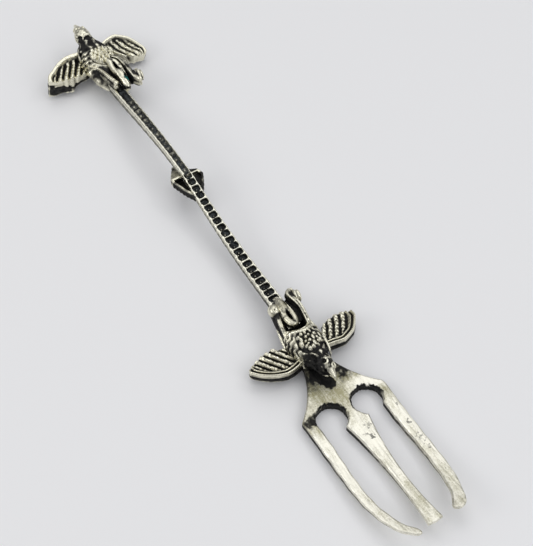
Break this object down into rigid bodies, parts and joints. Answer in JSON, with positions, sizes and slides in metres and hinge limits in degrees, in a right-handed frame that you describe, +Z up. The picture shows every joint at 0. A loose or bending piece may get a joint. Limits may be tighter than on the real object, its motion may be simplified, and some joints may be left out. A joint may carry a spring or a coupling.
{
  "type": "ornamental serving fork",
  "caption": "Small cast-silver serving fork with curved tines, keyhole piercings, a pitted bar handle, a faceted collar and a bird casting at each end of the handle.",
  "frame": {"origin": "on the flat underside of the plate, midway between the two keyhole centres", "axes": "+X along the fork towards the tine tips, +Y to the fork's left seen from above, +Z up out of the face that carries the birds"},
  "size_m": [0.1112, 0.0198, 0.0069],
  "materials": {
    "silver_sheet": "satin worn silver",
    "silver_cast": "cast silver, blackened in the recesses"
  },
  "bodies": {
    "root": {"fork_head": "silver_sheet", "lower_shaft": "silver_cast", "upper_shaft": "silver_cast", "collar_left": "silver_cast", "collar_right": "silver_cast", "lower_bird_body": "silver_cast", "lower_bird_left_wing": "silver_cast", "lower_bird_right_wing": "silver_cast", "lower_bird_left_volute": "silver_cast", "lower_bird_right_volute": "silver_cast", "lower_bird_tail_loop": "silver_cast", "upper_bird_body": "silver_cast", "upper_bird_left_wing": "silver_cast", "upper_bird_right_wing": "silver_cast", "upper_bird_left_volute": "silver_cast", "upper_bird_right_volute": "silver_cast", "upper_bird_tail_loop": "silver_cast"}
  },
  "joints": []
}
